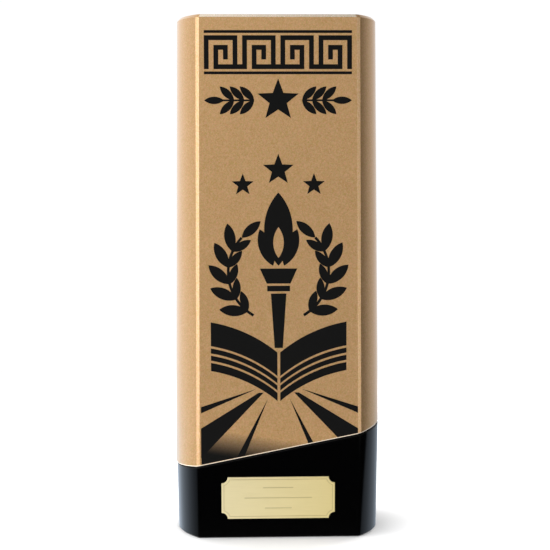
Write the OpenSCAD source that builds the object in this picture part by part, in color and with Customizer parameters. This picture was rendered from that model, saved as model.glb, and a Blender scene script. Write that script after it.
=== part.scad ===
// Column trophy: a hollow moulded column that stands on a weighted base, joined on a slant.
// X runs to the right, -Y is the printed front and Z is up. The origin is the middle of the
// footprint, on the surface that the trophy stands on. All sizes are in millimetres.

/* [Overall] */
// Height from the table to the top of the column
height = 230; // [200:1:260]
// Radius of the curved sides
side_r = 34.3; // [33:0.1:36]
// Height of the slanting joint on the centreline
joint_z = 39.4; // [38.5:0.1:44]
// Slope of the joint, rising to the right, in degrees
joint_angle = 11.15; // [6:0.05:12]
// Shadow gap between the column's edge and the base's edge
joint_gap = 0.6; // [0.3:0.1:1]

/* [Column] */
// Width of the column at its top
column_top_w = 88.8; // [87:0.1:91]
// Width of the column at the joint
column_joint_w = 92.6; // [91:0.1:95]
// Depth of the column at its top
column_top_d = 47.4; // [46:0.1:48.5]
// Depth of the column at the joint
column_joint_d = 49.4; // [48:0.1:50]
// Wall thickness of the column moulding
column_wall = 2.6; // [2:0.1:3]
// Width of the bevel along each upright edge, seen from the front
crease_w = 1.5; // [1:0.1:2.5]
// Chamfer round the column's top
top_chamfer = 1.3; // [0.4:0.1:1.6]
// Thickness of the plate that closes the column's mouth
sole_t = 4; // [3:0.1:5]

/* [Base] */
// Width of the base at the joint
base_joint_w = 92.1; // [91:0.1:94]
// Width of the base at its foot
base_foot_w = 90.8; // [90:0.1:93]
// Depth of the base at the joint
base_joint_d = 48.8; // [48:0.1:49.8]
// Depth of the base at its foot
base_foot_d = 48.2; // [47:0.1:49]
// Wall thickness of the base moulding
base_wall = 3; // [2.5:0.1:3.5]
// Thickness of the deck under the shadow gap
deck_t = 3; // [2.5:0.1:3.5]
// Wall thickness round the recess for the cover and the foot pad
rim_wall = 1.8; // [1.4:0.1:2]
// Chamfer round the base's foot
foot_chamfer = 0.3; // [0.2:0.1:1.2]

/* [Foot] */
// Height that the foot pad stands proud of the base
pad_proud = 0.1; // [0.1:0.1:1]
// Thickness of the foot pad
pad_t = 2; // [1.5:0.1:2.5]
// Thickness of the base cover
cover_t = 2.5; // [2.4:0.1:3]

/* [Ballast] */
// Width, depth and height of the ballast block
ballast_size = [61, 39, 17]; // width 30 to 61, depth 20 to 39, height 8 to 17
// Radius of the ballast block's upright corners
ballast_r = 5; // [2:0.5:8]
// Thickness of the foam under the ballast block
foam_t = 2; // [1:0.5:3]

/* [Fasteners] */
// Place of the column screws along and across the joint, either side of the middle
column_screw_at = [22, 11]; // 18 to 24 along, 9 to 12 across
// Place of the cover screws, either side of the middle
cover_screw_at = [35, 12]; // 35 to 36 along, 11 to 13 across
// Diameter of the column screws
column_screw_d = 4; // [3:0.5:5]
// Diameter of the cover screws
cover_screw_d = 3; // [2.5:0.5:3.5]

/* [Engraving plate] */
// Width of the plate
plate_w = 50.2; // [40:0.1:56]
// Height of the plate
plate_h = 18.7; // [15:0.1:20]
// Thickness of the plate
plate_t = 0.5; // [0.4:0.1:0.8]
// Radius of the hollowed corners
plate_scallop_r = 2.7; // [1.5:0.1:4]
// Distance of the plate's middle from the centreline: it is stuck on a touch to the left
plate_x = -0.4; // [-2:0.1:2]
// Height of the plate's middle
plate_z = 18.2; // [15:0.1:19]

/* [Print] */
// Thickness of the printed ink
ink_t = 0.12; // [0.08:0.01:0.2]
// Bare margins between the ink and the left and right bevels
ink_side_margin = [0.6, 0.05]; // [0:0.05:1]
// Bare margin between the ink and the joint
ink_foot_margin = 0.6; // [0.5:0.1:2]
// Lowest point of the emblem
emblem_z = 61; // [60:0.5:66]

/* [Hidden] */

$fn = 96;
far = 300;                                // longer than the trophy, for cutting blocks
fit = 0.1;                                // clearance between pieces that slide together
crease_turn = 22.5;                       // the bevel faces halfway between front and side
plinth_inset = 1.4;                       // how far the deck's plinth stands in from the edge
cover_z = pad_t;                          // underside of the base cover
cover_top_z = cover_z + cover_t;
ballast_z = cover_top_z + foam_t;
ballast_top_z = ballast_z + ballast_size.z;
deck_under = -joint_gap - deck_t;         // the deck's underside, measured from the joint plane
peg_d = 5;
peg_h = 3;
peg_x = 33;
washer_d = 9;
washer_t = 0.8;
insert_d = 5.6;
insert_l = 7;
boss_d = 9.5;
column_screw_l = 12;
cover_boss_d = 7.4;
cover_screw_l = 12;
film_t = 0.15;                            // adhesive film behind the engraving plate
engraving_cut = 0.12;                     // depth of the plate's border line and rules
column_face_lean = lean(column_joint_d, column_top_d, joint_z, height);
base_face_lean = lean(base_joint_d, base_foot_d, joint_z, 0);

// Lean of a wall that is a wide at height za and b wide at height zb, in degrees
function lean(a, b, za, zb) = atan((a - b) / 2 / (zb - za));

// Distance of the upright edge from the middle, for a plan that is w wide and d deep
function crease_x(w, d) = w / 2 - side_r + sqrt(side_r * side_r - d * d / 4);

// ---- Shared shapes ----

// Puts its children on the slanting joint plane, with their Z square to it
module on_joint() translate([0, 0, joint_z]) rotate([0, -joint_angle, 0]) children();

// Draws its children on a leaning front face, with their X to the right and their Y as height
module on_front(d, dz, face_lean) {
    translate([0, -d / 2, dz]) rotate([90 - face_lean, 0, 0]) translate([0, -dz, 0]) children();
}

module on_column_front() on_front(column_joint_d, joint_z, column_face_lean) children();

module on_base_front() on_front(base_joint_d, joint_z, base_face_lean) children();

module mirrored_x() {
    children();
    mirror([1, 0, 0]) children();
}

module mirrored_y() {
    children();
    mirror([0, 1, 0]) children();
}

module at_four(p) for (x = [-p.x, p.x], y = [-p.y, p.y]) translate([x, y, 0]) children();

module below(z) translate([-far, -far, z - 2 * far]) cube(2 * far);

module above(z) translate([-far, -far, z]) cube(2 * far);

// A tall form with two round sides and flat front and back. It is w0 wide and d0 deep at
// height z0, and w1 by d1 at height z1. inset draws every wall that far inside.
module form(w0, d0, z0, w1, d1, z1, inset = 0) {
    side_lean = lean(w0, w1, z0, z1);
    face_lean = lean(d0, d1, z0, z1);
    difference() {
        mirrored_x()
            translate([w0 / 2 - side_r, 0, z0]) rotate([0, -side_lean, 0])
                cylinder(h = 2 * far, r = side_r - inset, center = true);
        mirrored_y()
            translate([0, inset - d0 / 2, z0]) rotate([-face_lean, 0, 0])
                translate([-far, -far, -far]) cube([2 * far, far, 2 * far]);
    }
}

module column_form(inset = 0) {
    form(column_joint_w, column_joint_d, joint_z, column_top_w, column_top_d, height, inset);
}

module base_form(inset = 0) {
    form(base_joint_w, base_joint_d, joint_z, base_foot_w, base_foot_d, 0, inset);
}

// The waste outside the bevels along the column's four upright edges
module crease_waste() {
    joint_x = crease_x(column_joint_w, column_joint_d);
    top_x = crease_x(column_top_w, column_top_d);
    depth = crease_w / 2 * tan(crease_turn) / cos(crease_turn);
    mirrored_x() mirrored_y()
        translate([joint_x, -column_joint_d / 2, joint_z])
            rotate([-column_face_lean, -lean(2 * joint_x, 2 * top_x, joint_z, height), 0])
                rotate([0, 0, crease_turn])
                    translate([-20, depth - 20, -far]) cube([40, 20, 2 * far]);
}

// A 45 degree roof over a form that is w by d at height z. It cuts a chamfer c wide there.
module roof(w, d, z, c) {
    intersection() {
        mirrored_x()
            translate([w / 2 - side_r, 0, z - far])
                cylinder(h = far, r1 = side_r - c + far, r2 = side_r - c);
        difference() {
            below(z);
            mirrored_y()
                translate([0, -d / 2, z - c]) rotate([-45, 0, 0])
                    translate([-far, -far, -far]) cube([2 * far, far, 2 * far]);
        }
    }
}

// ---- Column ----

// Moulded column: closed at the top, and open where it meets the base
module column_shell() color("#b48c63") {
    difference() {
        intersection() {
            column_form();
            roof(column_top_w, column_top_d, height, top_chamfer);
        }
        crease_waste();
        difference() {
            column_form(column_wall);
            above(height - column_wall);
        }
        on_joint() below(0);
    }
}

// Plate that is bonded into the column's mouth and holds the threaded inserts
module column_sole() color("#3a3a3c") {
    hole_depth = insert_l + 1.2;
    on_joint() difference() {
        union() {
            intersection() {
                translate([-far, -far, 0]) cube([2 * far, 2 * far, sole_t]);
                rotate([0, joint_angle, 0]) translate([0, 0, -joint_z])
                    column_form(column_wall + fit);
            }
            at_four(column_screw_at) cylinder(h = hole_depth + 1.2, d = boss_d);
        }
        at_four(column_screw_at) translate([0, 0, -1]) cylinder(h = hole_depth + 1, d = insert_d);
        mirrored_x() translate([peg_x, 0, -1]) cylinder(h = sole_t + 2, d = peg_d + 2 * fit);
    }
}

// Brass inserts in the sole, one for each column screw
module threaded_inserts() color("#b8923f") {
    flange_t = 0.8;
    on_joint() at_four(column_screw_at) difference() {
        translate([0, 0, fit]) union() {
            cylinder(h = insert_l, d = insert_d - 0.5);
            cylinder(h = flange_t, d = insert_d);
            translate([0, 0, insert_l / 2 - 1]) cylinder(h = 2, d = insert_d);
            translate([0, 0, insert_l - flange_t]) cylinder(h = flange_t, d = insert_d);
        }
        translate([0, 0, -1]) cylinder(h = insert_l + 3, d = column_screw_d + fit);
    }
}

// ---- Print ----

// A pointed leaf from the origin along X, drawn as the overlap of two circles
module leaf(l, w) {
    r = (l * l / 4 + w * w / 4) / w;
    translate([l / 2, 0]) intersection() {
        translate([0, w / 2 - r]) circle(r);
        translate([0, r - w / 2]) circle(r);
    }
}

module star(r) {
    polygon([for (i = [0:9]) (i % 2 == 0 ? r : 0.42 * r) * [cos(90 + 36 * i), sin(90 + 36 * i)]]);
}

// The part of the front that takes ink
module ink_area() {
    low = crease_x(column_joint_w, column_joint_d) - crease_w / 2;
    high = crease_x(column_top_w, column_top_d) - crease_w / 2;
    left = ink_side_margin[0];
    right = ink_side_margin[1];
    slope = tan(joint_angle);
    foot = joint_z + ink_foot_margin;
    polygon([[left - low, foot + (left - low) * slope], [low - right, foot + (low - right) * slope],
             [high - right, height - 2], [left - high, height - 2]]);
}

module ink() color("#1c1c19") on_column_front() linear_extrude(ink_t) children();

// One key of a running key pattern, in strokes one unit wide
module key_pattern() {
    square([1, 7]);
    translate([0, 6]) square([7, 1]);
    translate([6, 0]) square([1, 7]);
    square([5, 1]);
    translate([4, 0]) square([1, 5]);
    translate([2, 4]) square([3, 1]);
    translate([2, 2]) square([1, 3]);
}

// Two keys of the running pattern, u wide in the stroke, to the right of the middle
module half_key_row(u) {
    scale(u) translate([0.5, 0]) {
        key_pattern();
        translate([8, 0]) key_pattern();
        translate([6, 0]) square([3, 1]);
        translate([-1, 0]) square([2, 1]);
    }
}

// A straight laurel sprig along X: pairs of leaves on a stem, and a leaf at its end
module sprig(l, pairs, leaf_l, leaf_w) {
    pitch = (l - leaf_l) / pairs;
    translate([0, -0.4]) square([l - leaf_l / 2, 0.8]);
    for (i = [0:pairs - 1], s = [-1, 1])
        translate([i * pitch, 0]) rotate(s * 44) leaf(leaf_l, leaf_w);
    translate([l - leaf_l, 0]) leaf(leaf_l, leaf_w);
}

// Ornament at the head of the column: a key pattern between two rules, and under it a star
// between laurel sprigs
module frieze_print() {
    frieze_w = 64;
    frieze_z = 204.2;
    rule_t = 1.2;
    rule_gap = 1;
    unit = frieze_w / 31;
    key_z = rule_t + rule_gap;
    row_z = 193;
    ink() {
        translate([0, frieze_z]) {
            translate([0, key_z]) mirrored_x() half_key_row(unit);
            for (z = [0, 2 * key_z - rule_t + 7 * unit])
                translate([-frieze_w / 2, z]) square([frieze_w, rule_t]);
        }
        translate([0, row_z]) {
            star(9.4);
            mirrored_x() translate([10.4, 0]) sprig(21.6, 3, 8.6, 3.2);
        }
    }
}

// Laurel branch on the right: leaves in pairs along an arc of radius r round the torch
module laurel_branch(r) {
    first = -52;
    step = 19;
    count = 5;
    last = first + step * count;
    intersection() {
        difference() {
            circle(r + 0.6);
            circle(r - 0.6);
        }
        polygon([[0, 0], 2 * r * [cos(first - 8), sin(first - 8)], [3 * r, 0],
                 2 * r * [cos(last), sin(last)]]);
    }
    for (i = [0:count - 1]) rotate(first + step * i) translate([r, 0]) {
        rotate(56) leaf(12.5, 4.9);
        rotate(124) leaf(9.5, 3.6);
    }
    rotate(last) translate([r, 0]) rotate(96) leaf(11, 4.2);
}

// Torch: a tapered handle, a collar, a cup and a flame of three tongues
module torch() {
    polygon([[-1.8, 0], [1.8, 0], [3.4, 24], [-3.4, 24]]);
    translate([-5, 25]) square([10, 2.4]);
    polygon([[-5.2, 28.4], [5.2, 28.4], [8.2, 35], [-8.2, 35]]);
    translate([0, 36.2]) difference() {
        union() {
            rotate(90) leaf(32, 12.5);
            mirrored_x() translate([2.4, 0]) rotate(70) leaf(17, 6.4);
        }
        translate([0, 3.4]) rotate(90) leaf(13.5, 4.6);
    }
}

// Open book, half_w wide on each side of its spine. Its pages rise outwards by rise in a
// curve that bulges by sag, and bands are the lower and upper edges of its printed stripes.
module open_book(half_w, rise, sag, bands) {
    chord = norm([half_w, rise]);
    r = chord * chord / 8 / sag + sag / 2;
    centre = [half_w, rise] / 2 + (r - sag) / chord * [rise, -half_w];
    mirrored_x() intersection() {
        translate([0.6, -5]) square([half_w - 0.6, 60]);
        for (band = bands) difference() {
            translate(centre + [0, band[1]]) circle(r);
            translate(centre + [0, band[0]]) circle(r);
        }
    }
}

// Emblem of learning: an open book, a torch between laurel branches, and three stars
module emblem_print() {
    ink() translate([0, emblem_z]) {
        open_book(29.8, 14, 2.2, [[0, 3.6], [4.6, 6.8], [7.8, 10], [11, 21.5]]);
        translate([0, 24]) torch();
        translate([0, 57.5]) mirrored_x() laurel_branch(22);
        translate([0, 102]) star(7);
        mirrored_x() translate([15.5, 95.5]) star(5);
    }
}

// One ray of the burst: from its tip outwards between two angles, measured from straight down
module ray(tip, a, b) {
    l = 70;
    translate(tip) polygon([[0, 0], l * [sin(a), -cos(a)], l * [sin(b), -cos(b)]]);
}

// Burst of rays between the emblem and the joint
module rays_print() {
    ink() intersection() {
        ink_area();
        mirrored_x() {
            ray([4.8, 62.5], 22.2, 27.9);
            intersection() {
                ray([3.8, 68.3], 43.6, 58.3);
                square([60, 65.2]);
            }
            ray([10.1, 66.8], 66.4, 72.1);
        }
    }
}

// ---- Base ----

// Moulded base: a skirt under a slanting deck, with bosses, ribs and locating pegs
module base_shell() color("#0c0c0e") {
    difference() {
        union() {
            difference() {
                base_hull();
                base_cavity();
            }
            intersection() {
                union() {
                    at_four(cover_screw_at) translate([0, 0, cover_top_z])
                        cylinder(h = far, d = cover_boss_d);
                    mirrored_x() translate([9, -base_foot_d / 2 + 1, ballast_top_z])
                        cube([2, base_foot_d - 2, far]);
                }
                on_joint() below(deck_under + 1);
                base_form(1);
            }
        }
        at_four(cover_screw_at) translate([0, 0, cover_top_z - 1])
            cylinder(h = cover_screw_l, d = cover_screw_d + fit);
        on_joint() at_four(column_screw_at) translate([0, 0, deck_under - 1])
            cylinder(h = deck_t + 4, d = column_screw_d + 0.5);
    }
}

// The base's outside, with the plinth and the pegs that the column sits on
module base_hull() {
    difference() {
        intersection() {
            base_form();
            mirror([0, 0, 1]) roof(base_foot_w, base_foot_d, -pad_proud, foot_chamfer);
        }
        on_joint() above(-joint_gap);
    }
    difference() {
        base_form(plinth_inset);
        below(joint_z / 2);
        on_joint() above(0);
    }
    on_joint() mirrored_x() translate([peg_x, 0, -1]) cylinder(h = peg_h + 1, d = peg_d);
}

// The room inside the base, and the recess for the cover and the foot pad under it
module base_cavity() {
    difference() {
        base_form(base_wall);
        below(cover_top_z - 1);
        on_joint() above(deck_under);
    }
    difference() {
        base_form(rim_wall);
        above(cover_top_z);
    }
}

// Pan head screws that hold the column down, driven from inside the base
module column_screws() color("#a7a9ac") {
    head_d = 8;
    head_t = 2.8;
    key_d = 2.9;
    on_joint() at_four(column_screw_at) translate([0, 0, deck_under - washer_t]) difference() {
        union() {
            cylinder(h = column_screw_l, d = column_screw_d);
            translate([0, 0, -head_t]) cylinder(h = head_t, d1 = head_d - 1.4, d2 = head_d);
        }
        translate([0, 0, -head_t - 1]) cylinder(h = 2.8, d = key_d, $fn = 6);
    }
}

module screw_washers() color("#c2c4c6") {
    on_joint() at_four(column_screw_at) translate([0, 0, deck_under - washer_t]) difference() {
        cylinder(h = washer_t, d = washer_d);
        translate([0, 0, -1]) cylinder(h = washer_t + 2, d = column_screw_d + 0.3);
    }
}

// Cast weight that lies in the base
module ballast_block() color("#4a4b4d") {
    corner = [ballast_size.x / 2 - ballast_r, ballast_size.y / 2 - ballast_r];
    translate([0, 0, ballast_z]) {
        at_four(corner) cylinder(h = ballast_size.z, r = ballast_r);
        translate([-corner.x, -ballast_size.y / 2, 0])
            cube([2 * corner.x, ballast_size.y, ballast_size.z]);
        translate([-ballast_size.x / 2, -corner.y, 0])
            cube([ballast_size.x, 2 * corner.y, ballast_size.z]);
    }
}

// Foam sheet that keeps the ballast block from rattling on the cover
module ballast_foam() color("#2d2d30") {
    translate([1 - ballast_size.x / 2, 1 - ballast_size.y / 2, cover_top_z])
        cube([ballast_size.x - 2, ballast_size.y - 2, foam_t]);
}

module base_cover() color("#232326") {
    sink_d = 2.2 * cover_screw_d;
    difference() {
        base_form(rim_wall + fit);
        below(cover_z);
        above(cover_top_z);
        at_four(cover_screw_at) {
            translate([0, 0, cover_z - 1]) cylinder(h = cover_t + 2, d = cover_screw_d + 0.4);
            translate([0, 0, cover_z])
                cylinder(h = (sink_d - cover_screw_d) / 2, d1 = sink_d, d2 = cover_screw_d);
        }
    }
}

// Countersunk screws that hold the cover, with heads flush with its underside
module cover_screws() color("#8d9093") {
    head_d = 2.2 * cover_screw_d - 2 * fit;
    at_four(cover_screw_at) translate([0, 0, cover_z + fit]) difference() {
        union() {
            cylinder(h = (head_d - cover_screw_d) / 2, d1 = head_d, d2 = cover_screw_d);
            cylinder(h = cover_screw_l - 0.5, d = cover_screw_d);
        }
        for (a = [0, 90]) rotate(a) translate([-1.7, -0.35, -1]) cube([3.4, 0.7, 1.9]);
    }
}

// Self-adhesive foam pad that the trophy stands on
module foot_pad() color("#141416") {
    difference() {
        base_form(rim_wall + 0.6);
        below(0);
        above(pad_t);
    }
}

// ---- Engraving plate ----

// The plate's outline, drawn i inside its edge
module plate_outline(i = 0) {
    corner = [plate_w / 2, plate_h / 2];
    difference() {
        square([plate_w - 2 * i, plate_h - 2 * i], center = true);
        at_four(corner) circle(plate_scallop_r + i);
    }
}

module plate_adhesive() color("#e8e6df") {
    on_base_front() translate([plate_x, plate_z, 0]) linear_extrude(film_t) plate_outline(0.4);
}

// Thin metal plate with a border line and three blank rules cut into it
module engraving_plate() color("#ddcd8f") {
    border = 0.9;
    line = 0.28;
    rules = [[4.6, 13.5], [0, 30], [-4.6, 12]];
    on_base_front() translate([plate_x, plate_z, film_t]) difference() {
        linear_extrude(plate_t) plate_outline();
        translate([0, 0, plate_t - engraving_cut]) linear_extrude(1) difference() {
            plate_outline(border);
            plate_outline(border + line);
        }
        translate([0, 0, plate_t - engraving_cut]) linear_extrude(1)
            for (rule = rules) translate([0, rule[0]]) square([rule[1], 0.5], center = true);
    }
}

column_shell();
column_sole();
threaded_inserts();
frieze_print();
emblem_print();
rays_print();
base_shell();
column_screws();
screw_washers();
ballast_block();
ballast_foam();
base_cover();
cover_screws();
foot_pad();
plate_adhesive();
engraving_plate();
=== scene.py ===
"""Column trophy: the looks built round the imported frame.

Lengths are in millimetres and angles in degrees, unless a name or a note says otherwise.
"""
import math

import bmesh
import bpy
from mathutils import Matrix, Vector
from mathutils.geometry import tessellate_polygon


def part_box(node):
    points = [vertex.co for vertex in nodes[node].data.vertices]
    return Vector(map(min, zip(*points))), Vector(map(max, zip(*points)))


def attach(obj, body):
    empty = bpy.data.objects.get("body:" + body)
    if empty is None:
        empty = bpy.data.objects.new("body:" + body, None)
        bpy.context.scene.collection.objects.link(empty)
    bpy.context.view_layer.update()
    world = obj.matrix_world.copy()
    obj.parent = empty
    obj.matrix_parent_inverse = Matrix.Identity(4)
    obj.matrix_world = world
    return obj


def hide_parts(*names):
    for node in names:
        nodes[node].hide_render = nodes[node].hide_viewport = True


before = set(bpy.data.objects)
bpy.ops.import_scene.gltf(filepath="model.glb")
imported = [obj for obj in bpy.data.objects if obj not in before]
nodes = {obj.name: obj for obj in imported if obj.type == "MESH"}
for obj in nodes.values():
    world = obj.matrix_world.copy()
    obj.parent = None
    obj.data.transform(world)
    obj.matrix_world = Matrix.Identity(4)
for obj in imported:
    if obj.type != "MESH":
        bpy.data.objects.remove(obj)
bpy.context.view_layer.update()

MM = 0.001

# ---- Driving dimensions, as the CAD has them ----

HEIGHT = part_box("column_shell")[1].z / MM
SIDE_R = 34.3
JOINT_Z = 39.4
JOINT_SLOPE = math.tan(math.radians(11.15))
JOINT_GAP = 0.6
COLUMN_WALL = 2.6
CREASE_W = 1.5
BASE_WALL = 3.0
RIM_WALL = 1.8
DECK_T = 3.0
PLINTH_INSET = 1.4
PAD_PROUD = 0.1
COVER_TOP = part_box("base_cover")[1].z / MM
PLATE_W = 50.2
PLATE_H = 18.7
PLATE_T = 0.5
PLATE_SCALLOP = 2.7
PLATE_RULES = ((4.6, 13.5), (0, 30), (-4.6, 12))
RULE_HALF = 0.25
RULE_DEEP = 0.1
PLATE_X = -0.4
PLATE_Z = 18.2
FILM_T = 0.15
INK_SIDE_MARGIN = (0.6, 0.05)
INK_FOOT_MARGIN = 0.6
# Height of the band round the column's foot that gets paler paint as a painted highlight
FOOT_HIGHLIGHT = 0.45

# ---- Meshes ----


def new_object(name, bm, sharp_deg=32):
    """A piece from a bmesh in millimetres: smooth shaded, sharp past sharp_deg, on the root body."""
    bmesh.ops.recalc_face_normals(bm, faces=bm.faces)
    bm.transform(Matrix.Scale(MM, 4))
    mesh = bpy.data.meshes.new(name)
    bm.to_mesh(mesh)
    bm.free()
    mesh.shade_smooth()
    mesh.set_sharp_from_angle(angle=math.radians(sharp_deg))
    piece = bpy.data.objects.new(name, mesh)
    bpy.context.scene.collection.objects.link(piece)
    weighted = piece.modifiers.new("even shading", "WEIGHTED_NORMAL")
    weighted.keep_sharp = True
    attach(piece, "root")
    return piece


def skin(bm, rings, close_ends=True):
    """Joins closed rings of points with quads, one ring to the next, and caps the two ends."""
    rows = [[bm.verts.new(p) for p in ring] for ring in rings]
    for low, high in zip(rows, rows[1:]):
        for i in range(len(low)):
            j = (i + 1) % len(low)
            bm.faces.new((low[i], low[j], high[j], high[i]))
    if close_ends:
        bm.faces.new(reversed(rows[0]))
        bm.faces.new(rows[-1])


def bend(start, corner, end, steps=4):
    """Points along a curve that rounds a corner, both ends included."""
    start, corner, end = Vector(start), Vector(corner), Vector(end)
    points = []
    for k in range(steps + 1):
        t = k / steps
        points.append(start * (1 - t) ** 2 + corner * 2 * t * (1 - t) + end * t * t)
    return points


class Form:
    """A tall form with round sides and flat front and back, w0 by d0 at height z0 and w1 by d1 at z1.

    crease is the width of the bevel on each upright edge, and soft is how far its corners are rounded.
    """

    FLAT_STEPS = 8
    ARC_STEPS = 28

    def __init__(self, w0, d0, z0, w1, d1, z1, crease, soft):
        self.low, self.high = (w0, d0), (w1, d1)
        self.z0, self.z1 = z0, z1
        self.crease = crease
        self.soft = soft

    def quarter(self, z, inset):
        """The outline from the middle of the front to the middle of the right side."""
        t = (z - self.z0) / (self.z1 - self.z0)
        half_w, half_d = ((a + (b - a) * t) / 2 for a, b in zip(self.low, self.high))
        cx = half_w - SIDE_R
        r, y = SIDE_R - inset, half_d - inset
        corner_x = cx + math.sqrt(r * r - y * y)
        flat_end = Vector((corner_x - self.crease / 2, -y))
        turn = math.acos((corner_x + self.crease / 2 - cx) / r) if self.crease else math.asin(y / r)
        arc_start = Vector((cx + r * math.cos(turn), -r * math.sin(turn)))
        first = turn - self.soft / r
        on_arc = Vector((cx + r * math.cos(first), -r * math.sin(first)))
        on_flat = flat_end - Vector((self.soft, 0))
        points = [on_flat * (k / self.FLAT_STEPS) + Vector((0, -y)) * (1 - k / self.FLAT_STEPS)
                  for k in range(self.FLAT_STEPS)]
        if self.crease:
            along = (arc_start - flat_end).normalized() * self.soft
            points += bend(on_flat, flat_end, flat_end + along)
            points += bend(arc_start - along, arc_start, on_arc)
        else:
            points += bend(on_flat, flat_end, on_arc)
        for k in range(1, self.ARC_STEPS + 1):
            a = first * (1 - k / self.ARC_STEPS)
            points.append(Vector((cx + r * math.cos(a), -r * math.sin(a))))
        return points

    def outline(self, z, inset=0.0):
        """The whole outline, mirrored from its quarter."""
        q = self.quarter(z, inset)
        right = q + [Vector((p.x, -p.y)) for p in reversed(q[:-1])]
        return right + [Vector((-p.x, p.y)) for p in reversed(right[1:-1])]

    def ring(self, level, slope=0.0, inset=0.0):
        """The outline where the plane z = level + slope * x cuts the form."""
        here, above = self.outline(level, inset), self.outline(level + 1, inset)
        points = []
        for p, q in zip(here, above):
            rise = slope * p.x / (1 - slope * (q.x - p.x))
            points.append((p.x + (q.x - p.x) * rise, p.y + (q.y - p.y) * rise, level + rise))
        return points


def round_over(form, level, slope, r, up, steps=5, inset=0.0):
    """Rings of a rounded edge at a level, from its wall to its flat. up says if the flat is on top."""
    rings = []
    for k in range(steps + 1):
        a = math.pi / 2 * k / steps
        drop = r * (1 - math.sin(a))
        edge = level - drop if up else level + drop
        rings.append(form.ring(edge, slope, inset + r * (1 - math.cos(a))))
    return rings


def wall(form, low, low_slope, high, high_slope, steps, inset=0.0):
    """Rings of a plain wall between two levels, the end ones left out."""
    rings = []
    for k in range(1, steps):
        t = k / steps
        slope = low_slope + (high_slope - low_slope) * t
        rings.append(form.ring(low + (high - low) * t, slope, inset))
    return rings


COLUMN = Form(w0=92.6, d0=49.4, z0=JOINT_Z, w1=88.8, d1=47.4, z1=HEIGHT, crease=CREASE_W, soft=0.16)
BASE = Form(w0=92.1, d0=48.8, z0=JOINT_Z, w1=90.8, d1=48.2, z1=0.0, crease=0.0, soft=0.5)
# The column's material slots for its bevels and its edges, which both get paler paint as a painted highlight
BEVEL_SLOT, HIGHLIGHT_SLOT = 1, 2


def across_joint(distance):
    """The level of a plane that lies that far above the joint plane, square to it."""
    return JOINT_Z + distance * math.sqrt(1 + JOINT_SLOPE ** 2)


def chamfer(form, level, width, soft=0.12):
    """Rings of a 45-degree chamfer up to a level, with its two corners softened."""
    return [form.ring(level - drop, 0, inset) for inset, drop in (
        (0, width + soft), (soft * 0.3, width), (soft, width - soft),
        (width - soft, soft), (width, soft * 0.3), (width + soft, 0))]


def mark_edges(bm):
    """Gives the column's bevels, its front and back top chamfers and its foot their own paler paints, which
    paint their highlights.
    """
    upright, level = 0.3, 0.95
    front_turn, side_turn = 10, 36
    bm.normal_update()
    for face in bm.faces:
        n, centre = face.normal, face.calc_center_median()
        turn = math.degrees(math.atan2(abs(n.x), abs(n.y)))
        foot = centre.z < JOINT_Z + JOINT_SLOPE * centre.x + FOOT_HIGHLIGHT
        outside = abs(centre.y) > COLUMN.high[1] / 2 - COLUMN_WALL / 2
        # The foot band and the head's front and back chamfers get the paler paint that paints their
        # highlight; the bevels get their own, for the same reason
        if foot or (outside and upright < n.z < level and turn < front_turn):
            face.material_index = HIGHLIGHT_SLOT
        elif outside and abs(n.z) < upright and front_turn < turn < side_turn:
            face.material_index = BEVEL_SLOT


def make_column():
    top_c, foot_r = 1.3, 0.5
    ceiling = HEIGHT - COLUMN_WALL
    bm = bmesh.new()
    inside = [COLUMN.ring(ceiling, 0, COLUMN_WALL)]
    inside += reversed(wall(COLUMN, JOINT_Z, JOINT_SLOPE, ceiling, 0, 6, COLUMN_WALL))
    inside.append(COLUMN.ring(JOINT_Z, JOINT_SLOPE, COLUMN_WALL))
    outside = list(reversed(round_over(COLUMN, JOINT_Z, JOINT_SLOPE, foot_r, up=False)))
    outside += wall(COLUMN, JOINT_Z + foot_r, JOINT_SLOPE, HEIGHT - top_c, 0, 12)
    outside += chamfer(COLUMN, HEIGHT, top_c)
    skin(bm, inside + outside)
    mark_edges(bm)
    piece = new_object("column", bm)
    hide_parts("column_shell")
    return piece


def tube(bm, x, y, low, high, r, hole_r, hole_top):
    """A round boss with a blind hole from below, its lower edges chamfered."""
    steps, edge = 32, 0.3
    turns = [2 * math.pi * k / steps for k in range(steps)]
    circle = [(math.cos(a), math.sin(a)) for a in turns]
    profile = ((hole_r, hole_top), (hole_r, low + edge), (hole_r + edge, low),
               (r - edge, low), (r, low + edge))
    rings = [[(x + c * q, y + s * q, z) for c, s in circle] for q, z in profile]
    rings.append([(x + c * r, y + s * r, high + JOINT_SLOPE * (x + c * r)) for c, s in circle])
    skin(bm, rings)


def rib(bm, x, half_t, half_d, low, high):
    """A cross rib from front to back, with its top on the slope of the deck."""
    corners = [(x + sx * half_t, sy * half_d) for sx, sy in ((-1, -1), (1, -1), (1, 1), (-1, 1))]
    skin(bm, [[(cx, cy, low) for cx, cy in corners],
              [(cx, cy, high + JOINT_SLOPE * cx) for cx, cy in corners]])


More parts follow.
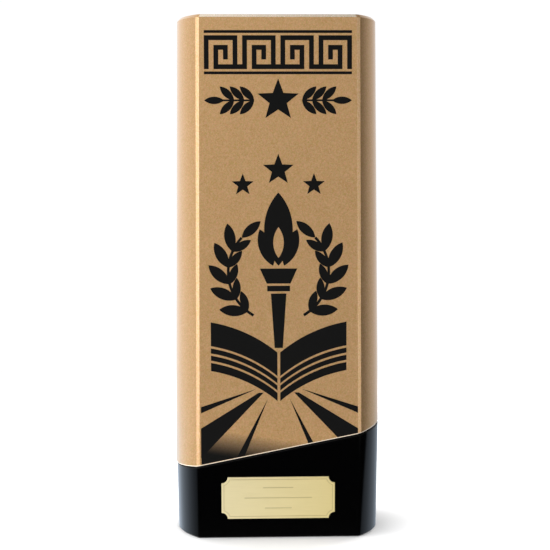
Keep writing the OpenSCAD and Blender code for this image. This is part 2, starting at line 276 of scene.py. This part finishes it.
def make_base():
    foot_r, edge_r = 0.4, 0.2
    screw_head_r, boss_r, boss_hole_r, boss_hole_depth = 3.2, 3.7, 1.55, 11
    rib_x, rib_half_t = 10, 1.0
    into_wall, into_deck = 0.4, 1
    deck_under = across_joint(-JOINT_GAP - DECK_T)
    edge = across_joint(-JOINT_GAP)
    bm = bmesh.new()
    rings = [BASE.ring(deck_under, JOINT_SLOPE, BASE_WALL)]
    rings += reversed(wall(BASE, COVER_TOP, 0, deck_under, JOINT_SLOPE, 3, BASE_WALL))
    rings += [BASE.ring(COVER_TOP, 0, BASE_WALL), BASE.ring(COVER_TOP, 0, RIM_WALL),
              BASE.ring(PAD_PROUD, 0, RIM_WALL)]
    rings += reversed(round_over(BASE, PAD_PROUD, 0, foot_r, up=False, steps=6))
    rings += wall(BASE, PAD_PROUD + foot_r, 0, edge - edge_r, JOINT_SLOPE, 6)
    rings += round_over(BASE, edge, JOINT_SLOPE, edge_r, up=True)
    rings += [BASE.ring(edge, JOINT_SLOPE, PLINTH_INSET), BASE.ring(JOINT_Z, JOINT_SLOPE, PLINTH_INSET)]
    skin(bm, rings)
    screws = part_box("cover_screws")
    ballast_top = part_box("ballast_block")[1].z / MM
    x_boss, y_boss = screws[1].x / MM - screw_head_r, screws[1].y / MM - screw_head_r
    for x in (-x_boss, x_boss):
        for y in (-y_boss, y_boss):
            tube(bm, x, y, COVER_TOP, deck_under + into_deck, boss_r, boss_hole_r,
                 COVER_TOP + boss_hole_depth)
    for x in (-rib_x, rib_x):
        rib(bm, x, rib_half_t, BASE.low[1] / 2 - BASE_WALL + into_wall, ballast_top, deck_under + into_deck)
    piece = new_object("base", bm)
    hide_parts("base_shell")
    return piece


def plate_ring(z, inset):
    """The plate's outline, inset from its edge, with a hollow at each corner."""
    half_w, half_h, r = PLATE_W / 2, PLATE_H / 2, PLATE_SCALLOP + inset
    steps, side_steps = 10, 6
    points = []
    for sx, sy in ((1, -1), (1, 1), (-1, 1), (-1, -1)):
        cut = math.asin(inset / r)
        arc = [cut + (math.pi / 2 - 2 * cut) * k / steps for k in range(steps + 1)]
        hollow = [(sx * (half_w - r * math.cos(a)), sy * (half_h - r * math.sin(a)), z) for a in arc]
        if sx * sy > 0:
            hollow.reverse()
        points += hollow
    spaced = []
    for p, q in zip(points, points[1:] + points[:1]):
        spaced.append(p)
        if math.dist(p, q) > 2 * PLATE_SCALLOP:
            spaced += [tuple(a + (b - a) * k / side_steps for a, b in zip(p, q))
                       for k in range(1, side_steps)]
    return spaced


def base_front():
    """Matrix that lays X, Y and Z on the base's leaning front: right, up and outwards."""
    lean = math.atan((BASE.low[1] - BASE.high[1]) / 2 / (BASE.z1 - BASE.z0))
    place = Matrix.Translation((0, -BASE.low[1] / 2, BASE.z0))
    return place @ Matrix.Rotation(math.pi / 2 - lean, 4, "X") @ Matrix.Translation((0, -BASE.z0, 0))


def rule_ring(y, w, half_h, z):
    """The outline of a blank rule with round ends."""
    steps = 24
    turns = [2 * math.pi * (k + 0.5) / steps for k in range(steps)]
    return [((w / 2 - half_h) * (1 if math.cos(a) > 0 else -1) + half_h * math.cos(a),
             y + half_h * math.sin(a), z) for a in turns]


def make_plate():
    """Thin plate with a softened edge, an engraved border and three engraved blank rules."""
    edge, border, groove_w, groove_t, slant = 0.1, 0.9, 0.35, 0.12, 0.05
    bm = bmesh.new()
    skin(bm, [plate_ring(0, 0), plate_ring(PLATE_T - edge, 0), plate_ring(PLATE_T - edge * 0.3, edge * 0.3),
              plate_ring(PLATE_T, edge), plate_ring(PLATE_T, border),
              plate_ring(PLATE_T - groove_t, border + slant),
              plate_ring(PLATE_T - groove_t, border + groove_w - slant),
              plate_ring(PLATE_T, border + groove_w)], close_ends=False)
    loops = [plate_ring(PLATE_T, border + groove_w)]
    for y, w in PLATE_RULES:
        loops.append(rule_ring(y, w, RULE_HALF, PLATE_T))
        skin(bm, [loops[-1], rule_ring(y, w, RULE_HALF - slant, PLATE_T - RULE_DEEP)], close_ends=False)
        bm.faces.new([bm.verts.new(p) for p in rule_ring(y, w, RULE_HALF - slant, PLATE_T - RULE_DEEP)])
    flat = [bm.verts.new(p) for loop in loops for p in loop]
    for corners in tessellate_polygon([[Vector(p) for p in loop] for loop in loops]):
        bm.faces.new([flat[i] for i in corners])
    bm.faces.new([bm.verts.new(p) for p in plate_ring(0, 0)])
    bmesh.ops.remove_doubles(bm, verts=bm.verts, dist=0.001)
    for face in bm.faces:
        centre = face.calc_center_median()
        cut = PLATE_T - 0.2 < centre.z < PLATE_T - 0.01
        inner = abs(centre.x) < PLATE_W / 2 - border / 2 and abs(centre.y) < PLATE_H / 2 - border / 2
        face.material_index = int(cut and inner)
    bm.transform(base_front() @ Matrix.Translation((PLATE_X, PLATE_Z, FILM_T)))
    piece = new_object("plate", bm, sharp_deg=20)
    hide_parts("engraving_plate")
    return piece


# ---- Materials ----

# The printed fade runs from nothing to full between these heights, which drop to the right
FADE_LOW, FADE_HIGH, FADE_SLOPE = 32.9, 44.5, 0.155


class Shader:
    """Builds one node material from short calls."""

    def __init__(self, name):
        self.material = bpy.data.materials.new(name)
        self.material.use_nodes = True
        self.tree = self.material.node_tree
        self.bsdf = self.tree.nodes["Principled BSDF"]
        self.coords = self.tree.nodes.new("ShaderNodeTexCoord").outputs["Object"]

    def add(self, kind, **values):
        node = self.tree.nodes.new(kind)
        for key, value in values.items():
            if key in node.inputs:
                self.plug(node.inputs[key], value)
            else:
                setattr(node, key, value)
        return node

    def plug(self, socket, value):
        if isinstance(value, bpy.types.NodeSocket):
            self.tree.links.new(value, socket)
        else:
            socket.default_value = value

    def math(self, operation, a, b=0.0):
        node = self.add("ShaderNodeMath", operation=operation)
        for socket, value in zip(node.inputs, (a, b)):
            self.plug(socket, value)
        return node.outputs[0]

    def noise(self, size, detail=3.0, rough=0.55, stretch=None):
        """Noise with features about size millimetres across, from 0 to 1."""
        coords = self.coords
        if stretch:
            coords = self.add("ShaderNodeMapping", Vector=coords, Scale=stretch).outputs[0]
        node = self.add("ShaderNodeTexNoise", Vector=coords, Scale=1 / (size * MM),
                        Detail=detail, Roughness=rough)
        return node.outputs["Fac"]

    def remap(self, value, low, high, to_low=0.0, to_high=1.0, smooth=False):
        node = self.add("ShaderNodeMapRange", clamp=True)
        node.interpolation_type = "SMOOTHSTEP" if smooth else "LINEAR"
        for socket, v in zip(node.inputs, (value, low, high, to_low, to_high)):
            self.plug(socket, v)
        return node.outputs[0]

    def mix(self, factor, a, b):
        node = self.add("ShaderNodeMix", data_type="RGBA")
        for socket, value in ((node.inputs[0], factor), (node.inputs[6], a), (node.inputs[7], b)):
            self.plug(socket, value)
        return node.outputs[2]

    def bump(self, height, distance_mm):
        node = self.add("ShaderNodeBump", Height=height, Distance=distance_mm * MM, Strength=1.0)
        self.plug(self.bsdf.inputs["Normal"], node.outputs[0])

    def set(self, **values):
        names = {"color": "Base Color", "metallic": "Metallic", "roughness": "Roughness",
                 "ior_level": "Specular IOR Level", "coat": "Coat Weight", "coat_roughness": "Coat Roughness"}
        for key, value in values.items():
            self.plug(self.bsdf.inputs[names[key]], value)


def rgb(r, g, b):
    return (r, g, b, 1.0)


def flake_paint(name, dark, light, coarse=1.0):
    """Satin metallic paint with a fine flake: the shader and its colour, which the caller puts to use."""
    flake_size, mottle_size, dust_size = 0.42, 9, 0.5
    glint_share, mottle_share, tint_share = 0.46, 0.16, 0.06
    s = Shader(name)
    flake = s.add("ShaderNodeTexVoronoi", Vector=s.coords, Scale=1 / (flake_size * MM)).outputs["Color"]
    glint = s.add("ShaderNodeSeparateColor", Color=flake).outputs[2]
    mottle = s.math("MULTIPLY", s.noise(mottle_size, 4), mottle_share)
    tone = s.math("ADD", s.math("MULTIPLY", glint, glint_share), mottle)
    s.set(metallic=1.0, roughness=s.math("ADD", s.math("MULTIPLY", glint, 0.08), 0.28 * coarse),
          ior_level=0.0, coat=0.6, coat_roughness=0.12)
    s.bump(s.math("ADD", glint, s.math("MULTIPLY", s.noise(dust_size), 0.6)), 0.004)
    return s, s.mix(tint_share, s.mix(tone, rgb(*dark), rgb(*light)), flake)


def column_paint():
    """The column's paint, with the printed fade that rises from the foot of the front."""
    fade_curve, veil_curve = 1.8, 3.0
    front_share = 0.49  # the front is what lies further forward than this share of the head's depth
    s, paint = flake_paint("column_paint", (0.66, 0.37, 0.14), (0.95, 0.58, 0.25))
    x, y, z = s.add("ShaderNodeSeparateXYZ", Vector=s.coords).outputs
    height = s.math("ADD", z, s.math("MULTIPLY", x, FADE_SLOPE))
    clear = s.math("POWER", s.remap(height, FADE_LOW * MM, FADE_HIGH * MM), fade_curve)
    front = s.math("LESS_THAN", y, -COLUMN.high[1] * front_share * MM)
    half = COLUMN.quarter(JOINT_Z, 0)[Form.FLAT_STEPS].x
    left, right = ((half - margin) * MM for margin in INK_SIDE_MARGIN)
    inside = s.math("MULTIPLY", s.math("GREATER_THAN", x, -left), s.math("LESS_THAN", x, right))
    foot = s.math("ADD", s.math("MULTIPLY", x, JOINT_SLOPE), (JOINT_Z + INK_FOOT_MARGIN) * MM)
    printed = s.math("MULTIPLY", s.math("MULTIPLY", front, inside), s.math("GREATER_THAN", z, foot))
    fade = s.math("MULTIPLY", s.math("SUBTRACT", 1.0, clear), printed)
    veil = s.mix(s.math("POWER", fade, veil_curve), rgb(0.05, 0.05, 0.048), rgb(0.012, 0.012, 0.011))
    s.set(color=s.mix(fade, paint, veil))
    return s.material


def bevel_highlight_paint():
    """The same paint, paler on the upright bevels, which paints their highlight."""
    # Paler colours than the column paint's, to paint the bevels' highlight
    s, paint = flake_paint("bevel_highlight_paint", (0.70, 0.42, 0.19), (0.95, 0.62, 0.32))
    s.set(color=paint)
    return s.material


def painted_highlight_edge():
    """Paler paint that paints the highlight along the head's front and back chamfers and round the column's
    foot.
    """
    s, paint = flake_paint("painted_highlight_edge", (0.72, 0.60, 0.46), (0.92, 0.80, 0.64), coarse=0.7)
    s.set(color=paint)
    return s.material


def print_ink():
    """Satin black ink with a faint fine mottle."""
    s = Shader("print_ink")
    grain = s.noise(0.45, 4)
    s.set(color=s.mix(grain, rgb(0.001, 0.001, 0.0009), rgb(0.004, 0.004, 0.0037)),
          roughness=s.remap(grain, 0.3, 0.7, 0.42, 0.58), ior_level=0.1)
    s.bump(grain, 0.006)
    return s.material


def gloss_black():
    """Polished black moulding: deep gloss with the slightest unevenness and dust-fine marks."""
    s = Shader("gloss_black")
    wave = s.noise(22, 2)
    marks = s.noise(0.6, 5, 0.7)
    s.set(color=s.mix(marks, rgb(0.0004, 0.0004, 0.0005), rgb(0.0012, 0.0012, 0.0014)),
          roughness=s.remap(marks, 0.35, 0.8, 0.05, 0.10), ior_level=0.25)
    s.bump(wave, 0.02)
    return s.material


def gold_plate(name="gold_plate", shade=1.0):
    """Satin gold sheet, brushed from side to side, with a painted reflection that turns it paler to the left
    and richer to the right. shade below 1 darkens cuts.
    """
    s = Shader(name)
    brush = s.noise(0.35, 4, 0.6, stretch=(0.04, 1.0, 1.0))
    across = s.add("ShaderNodeSeparateXYZ", Vector=s.coords).outputs[0]
    # The blend across the plate paints the reflection of the studio: paler on the left, richer on the right
    painted_sheen_across = s.remap(across, -PLATE_W / 2 * MM, PLATE_W / 2 * MM)
    pale = s.mix(brush, rgb(0.84, 0.73, 0.42), rgb(0.92, 0.81, 0.49))
    rich = s.mix(brush, rgb(0.78, 0.64, 0.29), rgb(0.87, 0.73, 0.35))
    tone = s.mix(painted_sheen_across, pale, rich)
    s.set(color=s.mix(1 - shade, tone, rgb(0.0, 0.0, 0.0)), metallic=0.85,
          roughness=s.remap(brush, 0.3, 0.7, 0.34, 0.46))
    s.bump(brush, 0.003)
    return s.material


def moulded_plastic(name, dark, light, size):
    """Plain moulded plastic with a fine spark-eroded texture."""
    rough = 0.55
    s = Shader(name)
    grain = s.noise(size, 4)
    s.set(color=s.mix(grain, rgb(*dark), rgb(*light)),
          roughness=s.remap(grain, 0.3, 0.7, rough - 0.08, rough + 0.08))
    s.bump(grain, 0.04)
    return s.material


def foam(name, dark, light, cell):
    """Closed-cell foam: small cells with dark pits."""
    s = Shader(name)
    cells = s.add("ShaderNodeTexVoronoi", Vector=s.coords, Scale=1 / (cell * MM)).outputs["Distance"]
    pits = s.remap(cells, 0.1, 0.6)
    s.set(color=s.mix(pits, rgb(*dark), rgb(*light)), roughness=0.9)
    s.bump(pits, 0.08)
    return s.material


def bare_metal(name, dark, light, rough):
    """Plain metal with a fine uneven finish."""
    s = Shader(name)
    grain = s.noise(0.8, 4, 0.6)
    s.set(color=s.mix(grain, rgb(*dark), rgb(*light)), metallic=1.0,
          roughness=s.remap(grain, 0.3, 0.7, rough - 0.07, rough + 0.07))
    s.bump(grain, 0.01)
    return s.material


def cast_iron():
    """Sand-cast iron with a rough skin and patches of rust."""
    s = Shader("cast_iron")
    lumps = s.noise(1.6, 6, 0.65)
    rust = s.remap(s.noise(7, 4), 0.52, 0.72)
    iron = s.mix(lumps, rgb(0.035, 0.036, 0.038), rgb(0.11, 0.11, 0.112))
    s.set(color=s.mix(rust, iron, rgb(0.10, 0.06, 0.04)),
          metallic=0.6, roughness=s.remap(lumps, 0.2, 0.8, 0.62, 0.85))
    s.bump(lumps, 0.35)
    return s.material


def adhesive_film():
    """Pale double-sided film with a fibrous mottle."""
    s = Shader("adhesive_film")
    weave = s.noise(0.5, 4)
    s.set(color=s.mix(weave, rgb(0.70, 0.69, 0.63), rgb(0.82, 0.81, 0.76)),
          roughness=s.remap(weave, 0.3, 0.7, 0.4, 0.6))
    s.bump(weave, 0.01)
    return s.material


def dress(obj, *materials):
    """Gives an object its materials, in the order its faces number them."""
    if obj.data.materials:
        obj.data.materials.clear()
    for material in materials:
        obj.data.materials.append(material)


column = make_column()
base = make_base()
plate = make_plate()

# The second and third materials are paler paints that paint the highlights of the bevels and edges
dress(column, column_paint(), bevel_highlight_paint(), painted_highlight_edge())
dress(base, gloss_black())
dress(plate, gold_plate(), gold_plate("cut_plate", shade=0.8))

ink = print_ink()
steel = bare_metal("zinc_steel", (0.42, 0.43, 0.45), (0.66, 0.67, 0.69), 0.34)
finishes = {
    "frieze_print": ink,
    "emblem_print": ink,
    "rays_print": ink,
    "column_sole": moulded_plastic("sole_plastic", (0.035, 0.035, 0.04), (0.055, 0.055, 0.06), 0.7),
    "threaded_inserts": bare_metal("insert_brass", (0.50, 0.33, 0.10), (0.72, 0.50, 0.19), 0.28),
    "column_screws": steel,
    "screw_washers": steel,
    "cover_screws": steel,
    "ballast_block": cast_iron(),
    "ballast_foam": foam("ballast_foam", (0.02, 0.02, 0.022), (0.05, 0.05, 0.055), 1.1),
    "base_cover": moulded_plastic("cover_plastic", (0.012, 0.012, 0.013), (0.028, 0.028, 0.03), 0.8),
    "foot_pad": foam("pad_foam", (0.006, 0.006, 0.007), (0.02, 0.02, 0.022), 0.7),
    "plate_adhesive": adhesive_film(),
}
for name, material in finishes.items():
    dress(nodes[name], material)

# ---- Floor, light and camera ----

# Brightness of the backdrop to the camera, just past white
BACKDROP = 1.02
# How pale the floor is to the camera
FLOOR_GAIN = 0.95


def make_floor():
    """Plain white floor, lit well past white near the object so that only its deeper shadows show.

    Lengths are in metres here. Beyond the near part the floor turns into backdrop.
    """
    half_side, near, beyond = 6.0, 0.25, 0.5
    bm = bmesh.new()
    bmesh.ops.create_grid(bm, x_segments=1, y_segments=1, size=half_side)
    mesh = bpy.data.meshes.new("floor")
    bm.to_mesh(mesh)
    bm.free()
    floor = bpy.data.objects.new("floor", mesh)
    bpy.context.scene.collection.objects.link(floor)
    s = Shader("floor")
    path = s.add("ShaderNodeLightPath").outputs["Is Camera Ray"]
    s.set(color=s.mix(path, rgb(0.6, 0.6, 0.6), rgb(*(FLOOR_GAIN,) * 3)), roughness=1.0, ior_level=0.0)
    glow = s.add("ShaderNodeEmission", Color=rgb(1, 1, 1), Strength=BACKDROP)
    x, y = s.add("ShaderNodeSeparateXYZ", Vector=s.coords).outputs[:2]
    distance = s.math("SQRT", s.math("ADD", s.math("POWER", x, 2.0), s.math("POWER", y, 2.0)))
    both = s.add("ShaderNodeMixShader")
    away = s.remap(distance, near, beyond, smooth=True)
    for socket, value in zip(both.inputs, (away, s.bsdf.outputs[0], glow.outputs[0])):
        s.plug(socket, value)
    s.plug(s.tree.nodes["Material Output"].inputs[0], both.outputs[0])
    dress(floor, s.material)
    floor.visible_glossy = False


# Brightness of the studio round the object, in degrees from straight in front, to the right
STUDIO = ((-180, 1.1), (-150, 1.15), (-120, 0.98), (-90, 0.8), (-60, 1.1), (-30, 1.25), (0, 0.46),
          (30, 0.62), (60, 0.6), (90, 0.1), (105, 0.2), (120, 0.45), (150, 0.74), (180, 1.1))
# The same for the band below the horizon that the gloss base mirrors, with its tint
TABLE = ((-180, 0.8), (-150, 1.3), (-120, 0.95), (-95, 0.28), (-89, 0.0), (100, 0.0), (104, 0.35),
         (125, 0.6), (150, 0.6), (180, 0.4))
TABLE_TINT = (0.86, 1.0, 1.17)
# How much its right side draws back for each degree of height
TABLE_SPREAD = 0.025
# Elevations where it starts, is full, starts to end, and ends. The ground gives way at the first two
TABLE_BAND = (-19, -17.5, -11.2, -10.2)
# The same for the white table itself
GROUND = ((-180, 2.2), (-150, 2.8), (-120, 2.7), (-60, 2.4), (0, 1.65), (30, 1.3), (60, 1.1),
          (120, 1.0), (180, 2.2))
# The upper studio and the ceiling: elevations where each starts and is full, brightness left and right
SKIES = ((22, 45, 0.85, 0.3), (62, 75, 1.4, 0.6))
# Light panels: azimuth, half width, elevation, half height, brightness, tint
WHITE, COOL = (1.0, 1.0, 1.0), (1.0, 1.0, 1.1)
PANELS = ((-95, 20, -8.5, 2, 1.1, WHITE), (-12, 12, 14, 6, 1.3, WHITE), (-47, 6, 12, 22, 3.8, COOL),
          (50, 6, -7, 5, 2.7, WHITE))
# Brightness that a full stop of a colour ramp stands for
RAMP_TOP = 3.0


def make_studio():
    """World light that varies round the object, with a plain white backdrop for the camera."""
    side_blend = 0.1
    world = bpy.data.worlds.new("studio")
    world.use_nodes = True
    tree = world.node_tree
    tree.nodes.clear()
    link = tree.links.new

    def node(kind, **settings):
        n = tree.nodes.new(kind)
        for key, value in settings.items():
            setattr(n, key, value)
        return n

    def put(socket, value):
        if isinstance(value, bpy.types.NodeSocket):
            link(value, socket)
        else:
            socket.default_value = value

    def calc(operation, a, b=0.0):
        n = node("ShaderNodeMath", operation=operation)
        put(n.inputs[0], a)
        put(n.inputs[1], b)
        return n.outputs[0]

    def step(value, low, high):
        n = node("ShaderNodeMapRange", interpolation_type="SMOOTHSTEP")
        for socket, v in zip(n.inputs, (value, low, high)):
            put(socket, v)
        return n.outputs[0]

    def blend(factor, a, b):
        n = node("ShaderNodeMix", data_type="RGBA")
        for socket, v in ((n.inputs[0], factor), (n.inputs[6], a), (n.inputs[7], b)):
            put(socket, v)
        return n.outputs[2]

    def grey(v, tint=(1, 1, 1)):
        return rgb(*(v * t for t in tint))

    split = node("ShaderNodeSeparateXYZ")
    link(node("ShaderNodeTexCoord").outputs["Generated"], split.inputs[0])
    x, y, z = split.outputs
    degrees = calc("MULTIPLY", calc("ARCTAN2", x, calc("MULTIPLY", y, -1.0)), 180 / math.pi)
    rise = calc("MULTIPLY", calc("ARCSINE", z), 180 / math.pi)

    def ring_light(table, tint=(1, 1, 1), spread=0.0):
        """Light that varies with the azimuth. On its right it draws back by spread as it climbs."""
        unchanged_at = -16.0
        on_right = calc("MULTIPLY", calc("GREATER_THAN", x, 0.0), spread)
        squeeze = calc("SUBTRACT", 1.0, calc("MULTIPLY", calc("ADD", rise, -unchanged_at), on_right))
        spread_turn = calc("ADD", calc("DIVIDE", calc("MULTIPLY", degrees, squeeze), 360.0), 0.5)
        ramp = node("ShaderNodeValToRGB")
        ramp.color_ramp.interpolation = "LINEAR"
        stops = ramp.color_ramp.elements
        while len(stops) < len(table):
            stops.new(0.5)
        for stop, (angle, value) in zip(stops, table):
            stop.position = angle / 360 + 0.5
            stop.color = grey(value / RAMP_TOP, tint)
        link(spread_turn, ramp.inputs[0])
        bright = node("ShaderNodeVectorMath", operation="SCALE")
        link(ramp.outputs[0], bright.inputs[0])
        bright.inputs["Scale"].default_value = RAMP_TOP
        return bright.outputs[0]

    def panel(azimuth, half_w, elevation, half_h, soft=2.0):
        """1 inside a rectangle of the sky and 0 outside, with a soft edge."""
        masks = []
        for value, centre, half in ((degrees, azimuth, half_w), (rise, elevation, half_h)):
            off = calc("ABSOLUTE", calc("SUBTRACT", value, centre))
            masks.append(calc("SUBTRACT", 1.0, step(off, half - soft, half + soft)))
        return calc("MULTIPLY", *masks)

    foot, foot_full, head_full, head = TABLE_BAND
    table_band = calc("MULTIPLY", step(rise, foot, foot_full),
                      calc("SUBTRACT", 1.0, step(rise, head_full, head)))
    light = blend(step(rise, foot, foot_full), ring_light(GROUND), ring_light(STUDIO))
    for low, full, left, right in SKIES:
        sky = blend(step(x, -side_blend, side_blend), grey(left), grey(right))
        light = blend(step(rise, low, full), light, sky)
    light = blend(table_band, light, ring_light(TABLE, TABLE_TINT, TABLE_SPREAD))
    for azimuth, half_w, elevation, half_h, bright, tint in PANELS:
        light = blend(panel(azimuth, half_w, elevation, half_h), light, grey(bright, tint))
    seen = node("ShaderNodeLightPath").outputs["Is Camera Ray"]
    back = node("ShaderNodeBackground")
    back.inputs["Strength"].default_value = 1.0
    link(blend(seen, light, grey(BACKDROP)), back.inputs["Color"])
    link(back.outputs[0], node("ShaderNodeOutputWorld").inputs[0])
    bpy.context.scene.world = world


def add_area(name, place, aim, size, watts):
    """A rectangular lamp that lights matt surfaces and isn't mirrored by glossy ones."""
    light = bpy.data.lights.new(name, "AREA")
    light.shape = "RECTANGLE"
    light.size, light.size_y = size
    light.energy = watts
    obj = bpy.data.objects.new(name, light)
    obj.location = place
    obj.rotation_euler = (Vector(aim) - Vector(place)).to_track_quat("-Z", "Y").to_euler()
    obj.visible_glossy = False
    bpy.context.scene.collection.objects.link(obj)


def aim_camera(azimuth, tilt, roll, target, distance, lens):
    """Puts the camera round the target, in millimetres, azimuth from straight in front, tilt above level."""
    a, e = math.radians(azimuth), math.radians(tilt)
    back = Vector((math.sin(a) * math.cos(e), -math.cos(a) * math.cos(e), math.sin(e)))
    data = bpy.data.cameras.new("camera")
    data.lens, data.sensor_width = lens, 36.0
    data.clip_start, data.clip_end = 0.05, 50.0
    camera = bpy.data.objects.new("camera", data)
    camera.location = Vector(target) * MM + back * distance * MM
    turn = (-back).to_track_quat("-Z", "Y").to_matrix() @ Matrix.Rotation(math.radians(roll), 3, "Z")
    camera.rotation_euler = turn.to_euler()
    bpy.context.scene.collection.objects.link(camera)
    bpy.context.scene.camera = camera


make_floor()
make_studio()
add_area("back", place=(0.5, 0.7, 0.8), aim=(0, 0, 0.1), size=(0.7, 0.7), watts=7.5)
add_area("top", place=(-0.07, 0.0, 1.2), aim=(0, 0, 0.1), size=(0.2, 0.2), watts=9.7)
aim_camera(azimuth=-1.75, tilt=4.72, roll=-0.15, target=(-0.83, 0, 115.15), distance=600, lens=86.15)
bpy.context.scene.view_settings.view_transform = "Standard"
